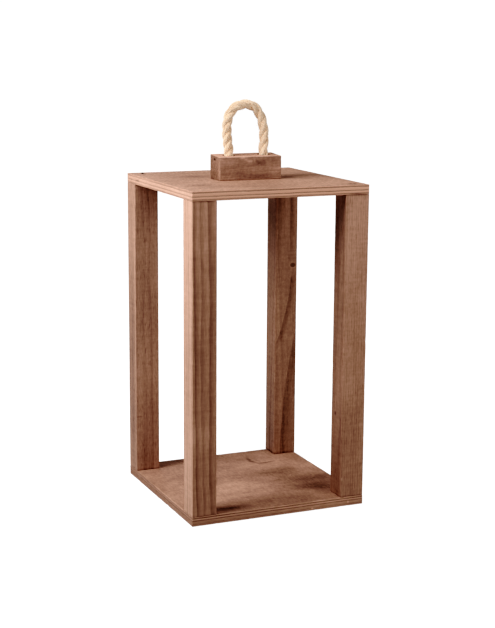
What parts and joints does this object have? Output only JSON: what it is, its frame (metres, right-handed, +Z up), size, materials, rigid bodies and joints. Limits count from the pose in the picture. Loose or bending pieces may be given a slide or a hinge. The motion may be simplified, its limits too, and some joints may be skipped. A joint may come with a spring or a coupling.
{
  "type": "candle lantern",
  "caption": "Open wooden candle lantern: square plywood top and base joined by corner posts, with a rope loop handle in a wooden block on top.",
  "frame": {"origin": "on the ground, at the middle of the base panel's underside", "axes": "+X to the right along the handle block, +Y to the back, +Z up"},
  "size_m": [0.18, 0.18, 0.3923],
  "materials": {
    "stained_plywood": "brown wood stain on plywood, satin, with light ply lines at the edges",
    "stained_batten": "brown wood stain on planed softwood, satin, grain along the length",
    "hemp_rope": "three-strand twisted natural fibre, pale tan, matt and slightly hairy",
    "nail_steel": "dull steel, darkened by the stain"
  },
  "bodies": {
    "root": {"base_panel": "stained_plywood", "top_panel": "stained_plywood", "post_front_left": "stained_batten", "post_front_right": "stained_batten", "post_rear_left": "stained_batten", "post_rear_right": "stained_batten", "handle_block": "stained_batten", "rope_end_left": "hemp_rope", "rope_end_right": "hemp_rope", "rope_pin_left": "nail_steel", "rope_pin_right": "nail_steel", "block_screw_left": "nail_steel", "block_screw_right": "nail_steel", "top_nail_front_left": "nail_steel", "top_nail_front_right": "nail_steel", "top_nail_rear_left": "nail_steel", "top_nail_rear_right": "nail_steel", "base_nail_front_left": "nail_steel", "base_nail_front_right": "nail_steel", "base_nail_rear_left": "nail_steel", "base_nail_rear_right": "nail_steel"},
    "rope_handle": {"rope_loop": "hemp_rope"}
  },
  "joints": [
    {"name": "rope_handle_tip", "type": "hinge", "parent": "root", "child": "rope_handle", "pos_m": [0.0003, -0.0024, 0.3435], "axis": [1, 0, 0], "range_deg": [-60, 60], "stiffness_Nm_per_rad": 0.08}
  ]
}
